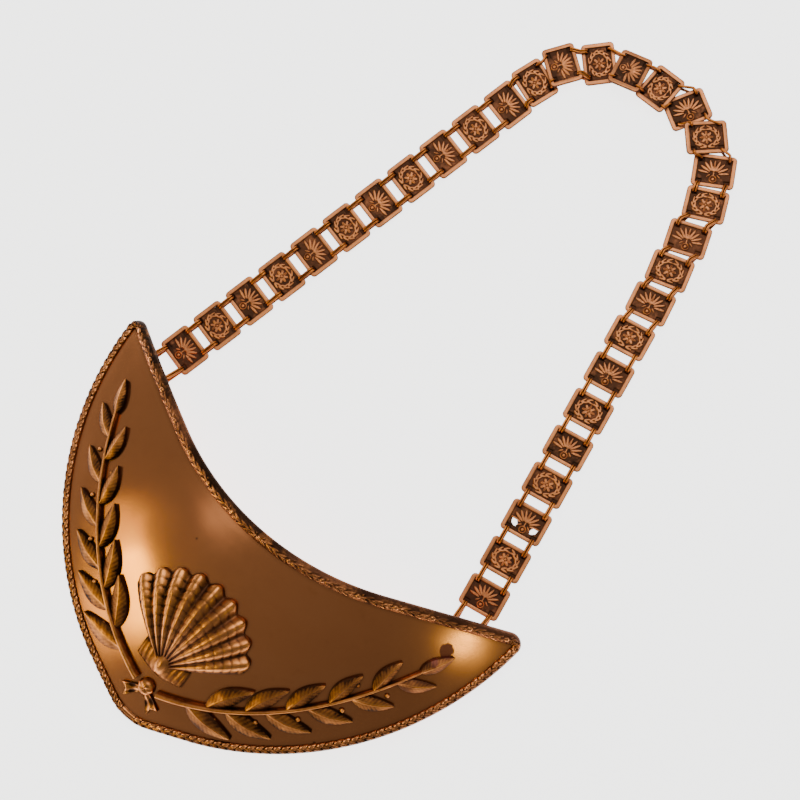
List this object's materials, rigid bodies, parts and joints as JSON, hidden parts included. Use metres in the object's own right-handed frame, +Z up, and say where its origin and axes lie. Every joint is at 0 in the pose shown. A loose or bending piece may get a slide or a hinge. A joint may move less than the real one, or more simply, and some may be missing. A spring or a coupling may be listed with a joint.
{
  "type": "gorget with neck chain",
  "caption": "Crescent-shaped domed neck plate with a garlanded rim, a scallop shell between laurel sprays, and a chain of framed links on bails behind its horns.",
  "frame": {"origin": "centre of the bounding box, on the surface that the gorget lies on", "axes": "+X from the plate's left horn to its right one as the viewer sees it, +Y from the plate's point towards the chain, +Z up, out of the plate's front"},
  "size_m": [0.213, 0.3528, 0.0331],
  "materials": {
    "plate": "satin antiqued copper, darkened towards the edges, with brown stains",
    "rim": "cast copper garland, dark in its hollows and worn bright on top",
    "ornament": "cast antiqued copper, satin, dark in its hollows",
    "chain": "copper frames rubbed bright round dark fields with a raised figure",
    "bail": "plain dull copper wire"
  },
  "bodies": {
    "root": {"plate": "plate", "rim_neck": "rim", "rim_left": "rim", "rim_right": "rim", "rim_point_band": "rim", "shell": "ornament", "spray_left": "ornament", "spray_right": "ornament", "ribbon": "ornament", "bail_left": "bail", "bail_right": "bail", "link_01": "chain", "link_02": "chain", "link_03": "chain", "link_04": "chain", "link_05": "chain", "link_06": "chain", "link_07": "chain", "link_08": "chain", "link_09": "chain", "link_10": "chain", "link_11": "chain", "link_12": "chain", "link_13": "chain", "link_14": "chain", "link_15": "chain", "link_16": "chain", "link_17": "chain", "link_18": "chain", "link_19": "chain", "link_20": "chain", "link_21": "chain", "link_22": "chain", "link_23": "chain", "link_24": "chain", "link_25": "chain", "link_26": "chain", "link_27": "chain", "link_28": "chain", "link_29": "chain", "link_30": "chain", "link_31": "chain"}
  },
  "joints": []
}
